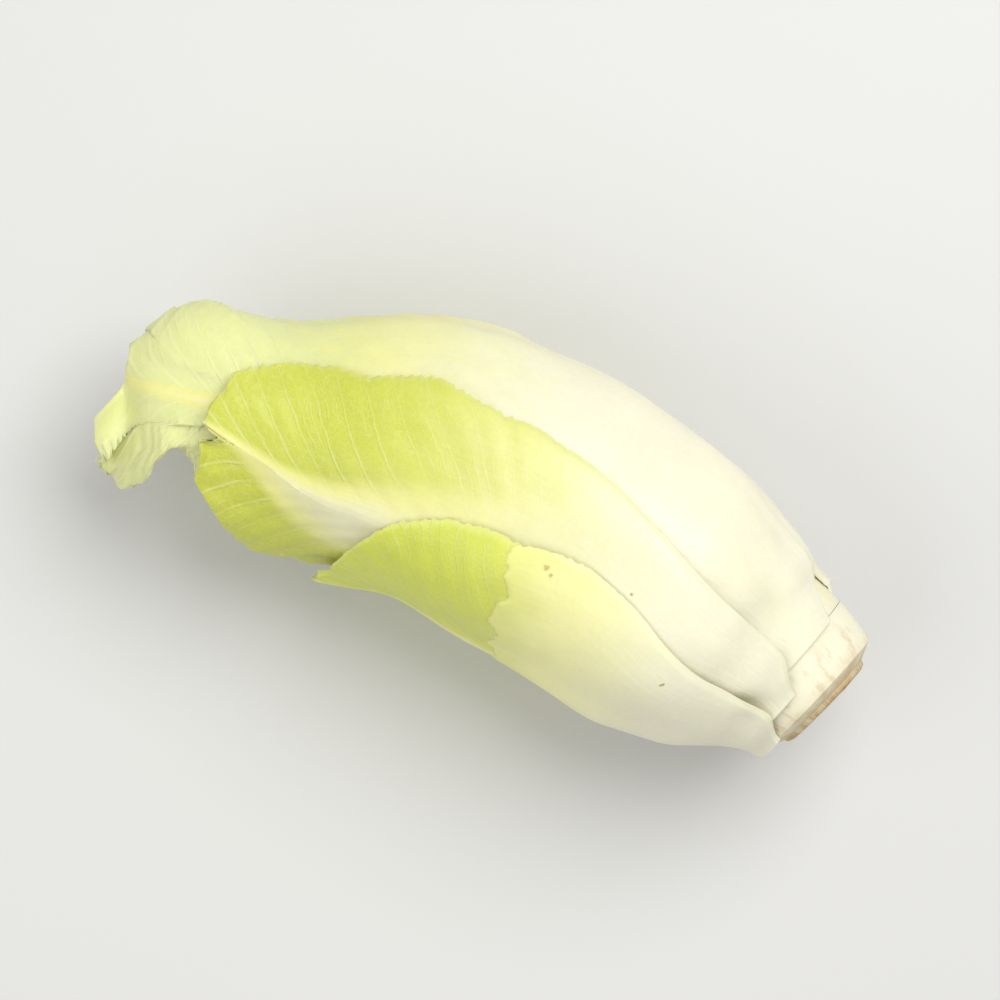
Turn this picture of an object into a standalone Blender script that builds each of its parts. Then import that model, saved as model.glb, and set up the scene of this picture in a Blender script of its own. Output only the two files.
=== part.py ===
"""A Belgian endive: one trimmed head of forced chicory, lying on its side with its tip towards -X.

The head is built as it grows. A stem core carries a heart bud, and separate leaves wrap round the two in a
spiral, from the innermost outwards, so that each leaf lies on all that it covers. Metres, +Z up.
"""

from math import radians

import bpy
import numpy as np

# ---- Driving dimensions -----------------------------------------------------------------------------------

HEART_LENGTH = 0.1435  # from the trimmed base to the apex of the heart bud
HEART_RADIUS = 0.0170  # of the heart bud at its widest
BASE_FULLNESS = 0.25  # exponent of the heart's outline at the base: lower is blunter
TIP_FULLNESS = 0.56  # exponent at the tip: lower is blunter
TRIMMED_OFF = 0.010  # how much of the outline the cut at the base takes away
TIP_SLIMMED = (0.25, 0.42, 0.80)  # share of its radius that the heart loses, from where, and by where in full

BEND_RADIUS = 0.225  # of the head's axis, which bends level with the surface, both ends towards -Y
SWAY = 0.0032  # how far the axis also sways towards -Y below its tip
SWAY_AT = 0.1125  # how far up the axis it does so most
SWAY_REACH = 0.0145  # and how far from there it has nearly ended
AXIS_DROOP = radians(2.2)  # the tip lies lower than the base, so that the belly bears the weight
FLAT_DEPTH = 0.00115  # how far the head's own weight presses its belly flat
FLAT_SNAP = 0.0001  # a point of the belly this near the surface lies on it

NOT_OFF = (0, 0, 1)  # of a margin that lies on what it covers
# The outermost leaves, which show the most. Each has its azimuth round the head, where 90 degrees is up, how
# far its tip turns from there, the share of the heart's outline where its tip ends, half its width laid flat
# to each side, the bluntness of its tip on each side, and how far its tip stands off. On the side of the
# larger azimuths its margin may stand off too: how far, and from where up the leaf and by where in full. That
# side may also have a waist below the tip: the share that is left there.
OUTER_LEAVES = (
    (radians(175), radians(4), 0.650, (0.0360, 0.0360), (2.6, 2.6), 0.0006, NOT_OFF, 1),
    (radians(313), radians(-8), 0.758, (0.0340, 0.0155), (2.3, 2.3), 0.0014, NOT_OFF, 1),
    (radians(127), radians(-20), 0.810, (0.0278, 0.0290), (3.2, 3.2), 0.0014, (0.0036, 0.60, 0.84), 1),
    (radians(262), radians(12), 0.853, (0.0345, 0.0345), (2.4, 2.4), 0.0012, NOT_OFF, 1),
    (radians(72), radians(30), 0.976, (0.0320, 0.0310), (3.3, 9.0), 0.0050, (0.0062, 0.87, 0.975), 0.25),
    (radians(205), radians(-10), 0.938, (0.0310, 0.0310), (2.6, 2.6), 0.0008, NOT_OFF, 1),
)
LEAF_COUNT = 14
DIVERGENCE = radians(137.5)  # from each further leaf to the next
INNER_TIPS = (0.950, 0.810)  # where the tips of the further leaves end, from the outermost to the innermost
INNER_HALF_WIDTH = (0.0300, 0.0215)
INNER_BLUNTNESS = 2.4
GAP = (0.0006, 0.0009)  # between a leaf and what it lies on, along the head and round its tight tip

FIRST_ROOT = 0.006  # where the outermost leaf starts, as a share of the outline
ROOT_STEP = 0.0140  # and how much higher each next one starts
ROOT_WIDTH = 0.38  # share of its full width that a leaf has near its root
ROOT_CORNER = (0.70, 0.06)  # that much of it right at the root, and how far up the corners are rounded off
WIDEST_AT = 0.56  # share of its length where a leaf is widest
WIDEST_ANGLE = radians(112)  # that a leaf reaches round to each side
LEAN_FROM = 0.45  # share of its length where a leaf starts to turn towards where its tip is
TIP_ROUNDNESS = 0.72  # exponent of the outline at the tip
TIP_WIDTH = 0.015  # share of its full width that a leaf still has at its very tip

MARGIN_WAVE = 0.035  # how far the margin swings in and out, as a share of the width
MARGIN_WAVE_TURN = 9.5  # how far a wave of the margin turns over a leaf's length, in radians
LEAF_PHASE = 2.4  # how far one leaf's waves are from the next one's
SIDE_PHASE = 1.9  # and how far its two sides' waves are from its middle

EDGE_THICKNESS = 0.0007
BLADE_THICKNESS = (0.0017, 0.0008)  # beside the rib, at the root and at the tip
BLADE_THIN_FROM = 0.65  # share of its length where the blade has thinned to what it is at the tip
RIB_THICKNESS = (0.0019, 0.0003)  # added on the rib
RIB_HALF_WIDTH = (0.0095, 0.0016)
RIB_SHARE = 0.8  # of the half width, that the rib is never wider than
ROOT_THINNED = (0.35, 1)  # a leaf is thin where it leaves the stem, and full by ROOT_FULL_FROM of its length
ROOT_FULL_FROM = 0.2

WAIST_AT = 0.910  # share of its length where a leaf's one side is narrowest
WAIST_REACH = 0.060  # and how far from there the waist has nearly ended
STANDS_FROM = 0.25  # share of the half width where a margin that stands off begins to rise
FLARE_FROM = 0.72  # share of a leaf's length where its tip begins to stand off
RUFFLE = 0.0009  # how far the margin's ruffles stand off near the tip
RUFFLE_TURN = 17  # how far a ruffle turns over a leaf's length, in radians
RUFFLE_FROM = 0.35  # share of its length where the ruffles start, and over how much more they grow

STEM_RADIUS = 0.0103  # of the cut butt
STEM_PROUD = 0.0014  # how far the butt stands out of the base
STEM_BEVEL = 0.0011  # round the cut
STEM_COLLAR_FROM = 0.0012  # how far up the stem is as wide as the heart's outline
STEM_CONE_FROM = 0.009  # how far up it narrows, inside the heart
STEM_CONE_LENGTH = 0.045  # how far up it ends
STEM_CONE_TIP = 0.14  # share of its radius left there
SOCKET_GAP = 0.0004  # between the stem and the heart bud round it

PILE_ROWS = 97  # of the map of how far the leaves laid so far stand off the heart, along its outline
PILE_COLUMNS = 144  # and round its axis
DRAPE_ROUND = 0.0055  # a leaf is stiff: round the head it spans a step in what it covers over this distance
DRAPE_ALONG = 0.0030  # and this one along the head
SNUG_ROUND = 0.0030  # its thin margins and its root bend over a step within this distance
SNUG_ALONG = 0.0016
SNUG_FROM = 0.45  # share of the half width where the blade starts to bend down to what is under its margin
SNUG_ROOT = 0.20  # share of its length up to where it does so at its root

OUTER_LEAF_CELLS = (18, 14)  # of a leaf's mesh, along and across
INNER_LEAF_CELLS = (13, 12)
CROWDING = (0.55, 0.35)  # how much the cells crowd towards the ends and towards the margins
ROUND_SIDES = 36  # of the stem and the heart
HEART_RING_STEP = 4  # rows of the outline from one ring of the heart to the next
SMOOTH_ANGLE = radians(50)  # edges flatter than this are shaded smooth

OUTER_COLOUR = (0.76, 0.81, 0.31, 1)
INNER_COLOUR = (0.93, 0.91, 0.62, 1)
STEM_COLOUR = (0.93, 0.90, 0.78, 1)
ROUGHNESS = 0.42


def between(ends, share):
    return ends[0] + (ends[1] - ends[0]) * share


def smooth(x):
    """Rises from 0 to 1 as x does, with level ends."""
    x = np.clip(x, 0, 1)
    return x * x * (3 - 2 * x)


# ---- The heart's outline, and places on and off it --------------------------------------------------------


def heart_outline(samples):
    """Distance up the axis, radius and outward normal at even steps of the outline, and its length."""
    up = HEART_LENGTH * (1 - np.cos(np.linspace(0, np.pi, 2001))) / 2
    share = np.minimum((up + TRIMMED_OFF) / (HEART_LENGTH + TRIMMED_OFF), 1)
    peak = BASE_FULLNESS / (BASE_FULLNESS + TIP_FULLNESS)

    def swell(x):
        return x**BASE_FULLNESS * (1 - x) ** TIP_FULLNESS

    lost, start, full = TIP_SLIMMED
    slimmed = 1 - lost * smooth((share - start) / (full - start))
    radius = HEART_RADIUS * swell(share) / swell(peak) * slimmed
    length = np.concatenate([[0], np.cumsum(np.hypot(np.diff(up), np.diff(radius)))])
    even = np.linspace(0, length[-1], samples)
    s = np.interp(even, length, up)
    r = np.interp(even, length, radius)
    ds, dr = np.gradient(s), np.gradient(r)
    norm = np.hypot(ds, dr)
    return s, r, -dr / norm, ds / norm, length[-1]


OUTLINE_S, OUTLINE_R, NORMAL_S, NORMAL_R, OUTLINE_LENGTH = heart_outline(PILE_ROWS)
PILE_P = np.linspace(0, 1, PILE_ROWS)
PILE_STEP = 2 * np.pi / PILE_COLUMNS
PILE_PHI = np.arange(PILE_COLUMNS) * PILE_STEP


def lying(s, side, up):
    """Where a point of the straight head is as the head lies: s up the axis, then to the side and up."""
    turn = (s - HEART_LENGTH / 2) / BEND_RADIUS
    side = side - SWAY * np.exp(-(((s - SWAY_AT) / SWAY_REACH) ** 2))
    x = -(BEND_RADIUS + side) * np.sin(turn)
    y = (BEND_RADIUS + side) * np.cos(turn) - BEND_RADIUS
    cos, sin = np.cos(AXIS_DROOP), np.sin(AXIS_DROOP)
    return np.stack([x * cos - up * sin, y, x * sin + up * cos], -1)


def head_point(p, phi, off):
    """The point off the heart by off, at share p of its outline and azimuth phi, as the head lies."""
    s = np.interp(p, PILE_P, OUTLINE_S) + off * np.interp(p, PILE_P, NORMAL_S)
    r = np.interp(p, PILE_P, OUTLINE_R) + off * np.interp(p, PILE_P, NORMAL_R)
    return lying(s, r * np.cos(phi), r * np.sin(phi))


# ---- The pile of leaves -----------------------------------------------------------------------------------


def read_map(pile, p, phi):
    """A map's value at p and phi, read between its rows and columns."""
    row = np.clip(p, 0, 1) * (PILE_ROWS - 1)
    column = (phi / PILE_STEP) % PILE_COLUMNS
    i = np.minimum(row.astype(int), PILE_ROWS - 2)
    j = column.astype(int) % PILE_COLUMNS
    k = (j + 1) % PILE_COLUMNS
    a, b = row - i, column - np.floor(column)
    low = pile[i, j] * (1 - b) + pile[i, k] * b
    high = pile[i + 1, j] * (1 - b) + pile[i + 1, k] * b
    return low * (1 - a) + high * a


def draped(pile, round_it, along_it):
    """The bed that a leaf makes over the pile: never under it, and each step is spread out."""
    radius = np.maximum(OUTLINE_R + pile.mean(1) * NORMAL_R, 0.002)[:, None]
    turns = range(-PILE_COLUMNS // 2, PILE_COLUMNS // 2)
    near = {t: np.maximum(1 - abs(t) * PILE_STEP * radius / round_it, 0) for t in turns}
    rows = round(along_it / OUTLINE_LENGTH * (PILE_ROWS - 1))
    window = range(2 * rows + 1)

    def shifted(field):
        padded = np.pad(field, ((rows, rows), (0, 0)), mode="edge")
        return [padded[t : t + PILE_ROWS] for t in window]

    bed = np.max([np.where(near[t] > 0, np.roll(pile, t, 1), 0) for t in turns], 0)
    bed = np.max(shifted(bed), 0)
    bed = sum(np.roll(bed, t, 1) * near[t] for t in turns) / sum(near.values())
    share = [rows + 1 - abs(t - rows) for t in window]
    return sum(field * w for field, w in zip(shifted(bed), share)) / sum(share)


class Leaf:
    """A leaf by its place in the spiral, 0 being outermost. u runs from root to tip and v across, -1 to 1."""

    def __init__(self, index):
        self.index = index
        self.root = FIRST_ROOT + ROOT_STEP * index
        self.phase = LEAF_PHASE * index
        last = len(OUTER_LEAVES) - 1
        if index <= last:
            self.azimuth, self.lean, self.tip, *shape = OUTER_LEAVES[index]
            self.half_widths, self.bluntness, self.flare, self.stand_off, self.left = shape
            return
        inward = (index - last - 1) / (LEAF_COUNT - last - 2)
        self.azimuth = OUTER_LEAVES[last][0] + DIVERGENCE * (index - last)
        self.lean = 0
        self.tip = between(INNER_TIPS, inward)
        self.half_widths = (between(INNER_HALF_WIDTH, inward),) * 2
        self.bluntness = (INNER_BLUNTNESS,) * 2
        self.flare = 0
        self.stand_off = NOT_OFF
        self.left = 1

    def outline(self, u, v):
        """Half the leaf's width at u, on the side of v, in metres."""
        rise = between((ROOT_WIDTH, 1), np.sin(np.pi / 2 * np.minimum(u / WIDEST_AT, 1)))
        corner = between((ROOT_CORNER[0], 1), smooth(u / ROOT_CORNER[1]))
        fall = np.clip((u - WIDEST_AT) / (1 - WIDEST_AT), 0, 1)
        bluntness = np.where(v > 0, self.bluntness[1], self.bluntness[0])
        shape = corner * rise * np.maximum((1 - fall**bluntness) ** TIP_ROUNDNESS, TIP_WIDTH)
        wave = np.sin(MARGIN_WAVE_TURN * u + self.phase + SIDE_PHASE * np.sign(v)) * smooth(2.5 * u)
        waist = between((1, self.left), np.exp(-(((u - WAIST_AT) / WAIST_REACH) ** 2)))
        half_width = np.where(v > 0, self.half_widths[1] * waist, self.half_widths[0])
        return half_width * shape * (1 + MARGIN_WAVE * wave)

    def half_angle(self, u, v, bed_radius):
        radius = np.interp(between((self.root, self.tip), u), PILE_P, bed_radius)
        return np.minimum(self.outline(u, v) / radius, WIDEST_ANGLE)

    def centre(self, u):
        """The azimuth of the leaf's rib."""
        return self.azimuth + self.lean * smooth((u - LEAN_FROM) / (1 - LEAN_FROM))

    def thickness(self, u, v):
        width = self.outline(u, v)
        blade = between(BLADE_THICKNESS, smooth(u / BLADE_THIN_FROM))
        body = between((blade, EDGE_THICKNESS), np.abs(v) ** 3)
        rib_width = np.minimum(between(RIB_HALF_WIDTH, smooth(u)), RIB_SHARE * width)
        rib = between(RIB_THICKNESS, u) * np.exp(-((v * width / rib_width) ** 2))
        root = between(ROOT_THINNED, smooth(u / ROOT_FULL_FROM))
        return np.maximum(root * (body + rib), EDGE_THICKNESS)

    def lift(self, u, v):
        """How far the leaf stands off its bed: its tip flares, and its margin ruffles near the tip."""
        flare = self.flare * smooth((u - FLARE_FROM) / (1 - FLARE_FROM)) ** 2
        wave = 0.5 + 0.5 * np.sin(RUFFLE_TURN * u + self.phase + SIDE_PHASE * np.sign(v))
        ruffle = RUFFLE * wave * smooth((u - RUFFLE_FROM) / RUFFLE_FROM) * np.abs(v) ** 3
        off, start, full = self.stand_off
        stands = smooth((u - start) / (full - start)) * smooth((v - STANDS_FROM) / (1 - STANDS_FROM))
        return flare + ruffle + off * stands


def snugness(u, v):
    """How far the blade has bent down from its stiff bed to what is right under it."""
    stiff = smooth((1 - np.abs(v)) / (1 - SNUG_FROM)) * smooth(u / SNUG_ROOT)
    return 1 - stiff


def lay_leaves():
    """Lays the leaves on the heart from the innermost outwards. Gives each leaf's beds and the pile."""
    pile = np.zeros((PILE_ROWS, PILE_COLUMNS))
    beds = {}
    p = PILE_P[:, None]
    for index in reversed(range(LEAF_COUNT)):
        leaf = Leaf(index)
        gap = between(GAP, smooth((p - 0.8) / 0.15))
        bed = draped(pile, DRAPE_ROUND, DRAPE_ALONG) + gap
        snug = draped(pile, SNUG_ROUND, SNUG_ALONG) + gap
        bed_radius = np.maximum(OUTLINE_R + bed.mean(1) * NORMAL_R, 0.0015)
        beds[index] = (bed, snug, bed_radius)
        along = (p - leaf.root) / (leaf.tip - leaf.root)
        u = np.clip(along, 0, 1)
        turn = (PILE_PHI - leaf.centre(u) + np.pi) % (2 * np.pi) - np.pi
        across = turn / leaf.half_angle(u, turn, bed_radius)
        v = np.clip(across, -1, 1)
        covered = (along == u) & (across == v)
        top = between((bed, snug), snugness(u, v)) + leaf.lift(u, v) + leaf.thickness(u, v)
        pile = np.where(covered, np.maximum(pile, top), pile)
    return beds, pile


def belly_press(pile):
    """How far each place of the head is pushed in where its belly is flat, and the surface's height."""
    p, phi = np.meshgrid(PILE_P, PILE_PHI, indexing="ij")
    top = head_point(p, phi, pile)
    outward = head_point(p, phi, pile + 1) - top
    floor = top[..., 2].min() + FLAT_DEPTH
    under = np.maximum(floor - top[..., 2], 0)
    return under / np.maximum(-outward[..., 2], 0.2), floor


# ---- Meshes -----------------------------------------------------------------------------------------------


def mesh_of(name, points, faces):
    mesh = bpy.data.meshes.new(name)
    mesh.from_pydata(points.tolist(), [], faces)
    mesh.shade_smooth()
    mesh.set_sharp_from_angle(angle=SMOOTH_ANGLE)
    return mesh


def shell_mesh(name, inner, outer):
    """A closed shell between two grids of points, split into triangles alike on both faces."""
    rows, columns = inner.shape[:2]
    index = np.arange(rows * columns).reshape(rows, columns)
    lift = rows * columns
    a, b, c, d = (part.ravel() for part in (index[:-1, :-1], index[1:, :-1], index[1:, 1:], index[:-1, 1:]))
    face = np.concatenate([np.stack([a, b, c], 1), np.stack([a, c, d], 1)])
    rim = np.concatenate([index[0, :], index[1:, -1], index[-1, -2::-1], index[-2:0:-1, 0]])
    far = np.roll(rim, -1)
    side = [np.stack([rim + lift, far + lift, far], 1), np.stack([rim + lift, far, rim], 1)]
    faces = np.concatenate([face[:, ::-1], face + lift] + side)
    return mesh_of(name, np.concatenate([inner.reshape(-1, 3), outer.reshape(-1, 3)]), faces.tolist())


def turned_mesh(name, rings):
    """A closed body through rings of points round the head's axis, with its first and last ring filled."""
    rows, columns = rings.shape[:2]
    index = np.arange(rows * columns).reshape(rows, columns)
    after = np.roll(index, -1, axis=1)
    a, b, c, d = index[:-1].ravel(), index[1:].ravel(), after[1:].ravel(), after[:-1].ravel()
    faces = np.concatenate([np.stack([a, b, c], 1), np.stack([a, c, d], 1)]).tolist()
    return mesh_of(name, rings.reshape(-1, 3), faces + [index[0].tolist(), index[-1, ::-1].tolist()])


def spaced(cells, crowd):
    """Shares from 0 to 1 for a row of cells, crowded towards both ends by crowd from 0 to 1."""
    t = np.linspace(0, 1, cells + 1)
    return between((t, (1 - np.cos(np.pi * t)) / 2), crowd)


def settled(points, floor):
    """Puts on the surface each point that is under it or touches it."""
    points[..., 2] = np.where(points[..., 2] < floor + FLAT_SNAP, floor, points[..., 2])
    return points


def leaf_mesh(name, leaf, beds, press, floor):
    bed, snug, bed_radius = beds[leaf.index]
    along, across = OUTER_LEAF_CELLS if leaf.index < len(OUTER_LEAVES) else INNER_LEAF_CELLS
    u, v = np.meshgrid(spaced(along, CROWDING[0]), 2 * spaced(across, CROWDING[1]) - 1, indexing="ij")
    p = between((leaf.root, leaf.tip), u)
    phi = leaf.centre(u) + v * leaf.half_angle(u, v, bed_radius)
    under = between((read_map(bed, p, phi), read_map(snug, p, phi)), snugness(u, v))
    off = under + leaf.lift(u, v) - read_map(press, p, phi)
    outer = head_point(p, phi, off + leaf.thickness(u, v))
    return shell_mesh(name, head_point(p, phi, off), settled(outer, floor))


def turned_rings(profile, press):
    """Rings of points through a profile of places up the axis and radii, pushed in where the belly is."""
    rings = []
    phi = np.arange(ROUND_SIDES) * 2 * np.pi / ROUND_SIDES
    for s, radius in profile:
        p = np.full(ROUND_SIDES, np.interp(s, OUTLINE_S, PILE_P))
        r = radius - read_map(press, p, phi)
        rings.append(lying(s, r * np.cos(phi), r * np.sin(phi)))
    return rings


def outline_radius(s):
    return np.interp(s, OUTLINE_S, OUTLINE_R)


def cone_radius(s):
    """The stem's radius inside the heart bud."""
    share = (s - STEM_CONE_FROM) / (STEM_CONE_LENGTH - STEM_CONE_FROM)
    return STEM_RADIUS * between((1, STEM_CONE_TIP), np.clip(share, 0, 1) ** 1.3)


def stem_mesh(name):
    """The stem: the butt with its bevelled cut, the collar under the heart bud, and the cone inside it."""
    unpressed = np.zeros((PILE_ROWS, PILE_COLUMNS))
    profile = [
        (-STEM_PROUD, STEM_RADIUS - STEM_BEVEL),
        (-STEM_PROUD + 0.3 * STEM_BEVEL, STEM_RADIUS - 0.3 * STEM_BEVEL),
        (-STEM_PROUD + STEM_BEVEL, STEM_RADIUS),
    ]
    profile += [(s, outline_radius(s)) for s in np.linspace(STEM_COLLAR_FROM, STEM_CONE_FROM, 5)]
    profile += [(s, cone_radius(s)) for s in np.linspace(STEM_CONE_FROM, STEM_CONE_LENGTH, 7)]
    return turned_mesh(name, np.array(turned_rings(profile, unpressed)))


def heart_mesh(name, press):
    """The heart bud: from its socket's inner end, down the socket, and up the outside to the apex."""
    shoulder = STEM_CONE_FROM + SOCKET_GAP
    inside = [(STEM_CONE_LENGTH + SOCKET_GAP, cone_radius(STEM_CONE_LENGTH))]
    inside += [(s, cone_radius(s) + SOCKET_GAP) for s in np.linspace(STEM_CONE_LENGTH, shoulder, 7)]
    first = np.searchsorted(OUTLINE_S, shoulder) + 1
    outside = [(shoulder, outline_radius(shoulder))]
    outside += list(zip(OUTLINE_S[first:-2:HEART_RING_STEP], OUTLINE_R[first:-2:HEART_RING_STEP]))
    outside += [(OUTLINE_S[-2], OUTLINE_R[-2])]
    unpressed = np.zeros((PILE_ROWS, PILE_COLUMNS))
    rings = turned_rings(inside, unpressed) + turned_rings(outside, press)
    return turned_mesh(name, np.array(rings))


# ---- The head ---------------------------------------------------------------------------------------------


def material(name, colour):
    made = bpy.data.materials.new(name)
    made.use_nodes = True
    shader = made.node_tree.nodes["Principled BSDF"]
    shader.inputs["Base Color"].default_value = colour
    shader.inputs["Roughness"].default_value = ROUGHNESS
    shader.inputs["Metallic"].default_value = 0
    made.diffuse_color = colour
    return made


def piece(mesh, colour, head, shift):
    """Puts a mesh in the scene as its own object, with its origin at its first point, on the head."""
    points = np.empty(len(mesh.vertices) * 3, np.float32)
    mesh.vertices.foreach_get("co", points)
    points = points.reshape(-1, 3)
    root = points[0].copy()
    mesh.vertices.foreach_set("co", (points - root).ravel())
    mesh.materials.append(material(mesh.name, colour))
    made = bpy.data.objects.new(mesh.name, mesh)
    made.location = (root + shift).tolist()
    made.parent = head
    bpy.context.scene.collection.objects.link(made)


def bounds(meshes):
    points = np.array([vertex.co for mesh in meshes for vertex in mesh.vertices])
    return points.min(0), points.max(0)


def main():
    for thing in list(bpy.data.objects):
        bpy.data.objects.remove(thing, do_unlink=True)
    beds, pile = lay_leaves()
    press, floor = belly_press(pile)
    meshes = [stem_mesh("stem_core"), heart_mesh("heart_bud", press)]
    colours = [STEM_COLOUR, INNER_COLOUR]
    for index in range(LEAF_COUNT):
        meshes.append(leaf_mesh(f"leaf_{index + 1:02d}", Leaf(index), beds, press, floor))
        share = index / (LEAF_COUNT - 1)
        colours.append(tuple(between((a, b), share) for a, b in zip(OUTER_COLOUR, INNER_COLOUR)))
    low, high = bounds(meshes)
    shift = -np.array([(low[0] + high[0]) / 2, (low[1] + high[1]) / 2, low[2]])
    head = bpy.data.objects.new("head", None)
    bpy.context.scene.collection.objects.link(head)
    for mesh, colour in zip(meshes, colours):
        piece(mesh, colour, head, shift)


main()
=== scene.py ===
"""A Belgian endive, dressed: one trimmed head of forced chicory, lying on its side with its tip towards -X.

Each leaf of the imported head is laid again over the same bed, from the same sizes, as a thin blade with a
toothed and ruffled margin, a raised rib, side veins and puckers between them, and gets its own place in the
fade from a cream base through yellow to a green tip.
"""

from dataclasses import dataclass
from math import radians

import bpy
import numpy as np
from bpy.props import FloatProperty, FloatVectorProperty, PointerProperty
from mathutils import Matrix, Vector


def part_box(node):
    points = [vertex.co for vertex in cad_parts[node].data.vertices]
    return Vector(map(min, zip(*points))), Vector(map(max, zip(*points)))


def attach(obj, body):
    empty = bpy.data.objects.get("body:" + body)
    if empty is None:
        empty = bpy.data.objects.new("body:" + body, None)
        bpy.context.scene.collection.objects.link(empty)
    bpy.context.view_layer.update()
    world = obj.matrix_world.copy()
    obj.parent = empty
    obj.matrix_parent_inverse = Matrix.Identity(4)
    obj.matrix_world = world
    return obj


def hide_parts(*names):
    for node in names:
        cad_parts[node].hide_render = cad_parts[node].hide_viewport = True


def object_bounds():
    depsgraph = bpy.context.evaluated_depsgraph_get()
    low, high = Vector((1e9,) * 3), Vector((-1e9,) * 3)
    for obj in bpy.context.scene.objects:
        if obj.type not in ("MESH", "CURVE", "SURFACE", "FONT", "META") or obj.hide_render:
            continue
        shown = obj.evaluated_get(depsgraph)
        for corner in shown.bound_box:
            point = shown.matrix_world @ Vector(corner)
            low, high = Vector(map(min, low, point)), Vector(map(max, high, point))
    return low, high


bl_info = {
    "name": "Belgian Endive",
    "version": (1, 0, 0),
    "blender": (4, 5, 0),
    "location": "3D View > Sidebar > Endive",
    "description": "Dresses a head of Belgian endive leaf by leaf and sets it on a pale table",
    "category": "Add Mesh",
}

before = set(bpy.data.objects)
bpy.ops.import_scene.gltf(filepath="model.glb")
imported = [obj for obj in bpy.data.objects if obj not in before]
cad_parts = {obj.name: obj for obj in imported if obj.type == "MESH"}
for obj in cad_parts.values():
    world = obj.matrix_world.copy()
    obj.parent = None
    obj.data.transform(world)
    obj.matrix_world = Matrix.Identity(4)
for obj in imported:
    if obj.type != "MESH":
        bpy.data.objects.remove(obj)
CAD_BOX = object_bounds()
MM = 0.001

# ---- The head's sizes, in metres, as its solids have them ----

HEART_LENGTH = 0.1435  # from the trimmed base to the apex of the heart bud
HEART_RADIUS = 0.0170
BASE_FULLNESS = 0.25
TIP_FULLNESS = 0.56
TRIMMED_OFF = 0.010
TIP_SLIMMED = (0.25, 0.42, 0.80)  # share of its radius lost, from where up, and by where up in full

BEND_RADIUS = 0.225  # of the head's axis, both ends towards -Y
SWAY = 0.0032  # how far the axis also sways towards -Y below its tip
SWAY_AT = 0.1125
SWAY_REACH = 0.0145
AXIS_DROOP = radians(2.2)
FLAT_DEPTH = 0.00115  # how far the head's own weight presses its belly flat
FLAT_SNAP = 0.0001

NOT_OFF = (0, 0, 1)  # of a margin that lies on what it covers
# Of each outer leaf: its azimuth, where 90 degrees is up, how far its tip turns from there, the share of the
# heart's outline where its tip ends, half its width laid flat to each side, the bluntness of its tip on each
# side, how far its tip stands off, how far its margin on the side of the larger azimuths does and from and by
# where up the leaf, and the share of that side's width that is left at its waist, below the tip. The tips of
# the first and the third reach a little further than their solids', and are blunter.
OUTER_LEAVES = (
    (radians(175), radians(4), 0.655, (0.0360, 0.0360), (3.0, 3.4), 0.0012, NOT_OFF, 1),
    (radians(313), radians(-8), 0.758, (0.0340, 0.0155), (2.3, 2.3), 0.0014, NOT_OFF, 1),
    (radians(127), radians(-20), 0.856, (0.0278, 0.0250), (4.0, 5.6), 0.0014, (0.0022, 0.60, 0.84), 1),
    (radians(262), radians(12), 0.853, (0.0345, 0.0345), (2.4, 2.4), 0.0012, NOT_OFF, 1),
    (radians(72), radians(30), 0.976, (0.0320, 0.0310), (4.2, 9.0), 0.0050, (0.0062, 0.87, 0.975), 0.25),
    (radians(205), radians(-10), 0.938, (0.0310, 0.0310), (2.6, 2.6), 0.0008, NOT_OFF, 1),
)
LEAF_COUNT = 14
DIVERGENCE = radians(137.5)
INNER_TIPS = (0.950, 0.810)
INNER_HALF_WIDTH = (0.0300, 0.0215)
INNER_BLUNTNESS = 2.4
GAP = (0.0006, 0.0009)  # under a leaf, over most of the heart and towards its apex
GAP_GROWS = (0.8, 0.15)  # share of the heart's outline from where it grows, and over what share

FIRST_ROOT = 0.006
ROOT_STEP = 0.0140
ROOT_WIDTH = 0.38
ROOT_CORNER = (0.70, 0.06)
WIDEST_AT = 0.56
WIDEST_ANGLE = radians(112)
LEAN_FROM = 0.45
LEAN_STARTS = {2: 0.76}  # where the top green leaf does so, which keeps straight for longer
TIP_ROUNDNESS = 0.72
TIP_WIDTH = 0.015

MARGIN_WAVE = 0.035
MARGIN_WAVE_TURN = 9.5
LEAF_PHASE = 2.4
SIDE_PHASE = 1.9

EDGE_THICKNESS = 0.0007
BLADE_THICKNESS = (0.0017, 0.0008)
BLADE_THIN_FROM = 0.65
RIB_THICKNESS = (0.0019, 0.0003)
RIB_HALF_WIDTH = (0.0095, 0.0016)
RIB_SHARE = 0.8
ROOT_THINNED = (0.35, 1)
ROOT_FULL_FROM = 0.2

WAIST_AT = 0.910  # share of its length where a leaf's one side is narrowest
WAIST_REACH = 0.060
STANDS_FROM = 0.25  # share of the half width where a margin that stands off begins to rise
FLARE_FROM = 0.72
RUFFLE = 0.0009
RUFFLE_TURN = 17
RUFFLE_FROM = 0.35

STEM_RADIUS = 0.0103
STEM_PROUD = 0.0014
STEM_BEVEL = 0.0011
STEM_COLLAR_FROM = 0.0012
STEM_CONE_FROM = 0.009
STEM_CONE_LENGTH = 0.045
STEM_CONE_TIP = 0.14
SOCKET_GAP = 0.0004

PILE_ROWS = 97
PILE_COLUMNS = 144
DRAPE_ROUND = 0.0055
DRAPE_ALONG = 0.0030
SNUG_ROUND = 0.0030  # its thin margins bend over a step within this distance
SNUG_ALONG = 0.0016
SNUG_FROM = 0.45  # share of the half width where the blade starts to bend down to what is under its margin
SNUG_ROOT = 0.20  # share of its length up to where it does so at its root

# ---- What the finished leaves add to the solids ----

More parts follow.
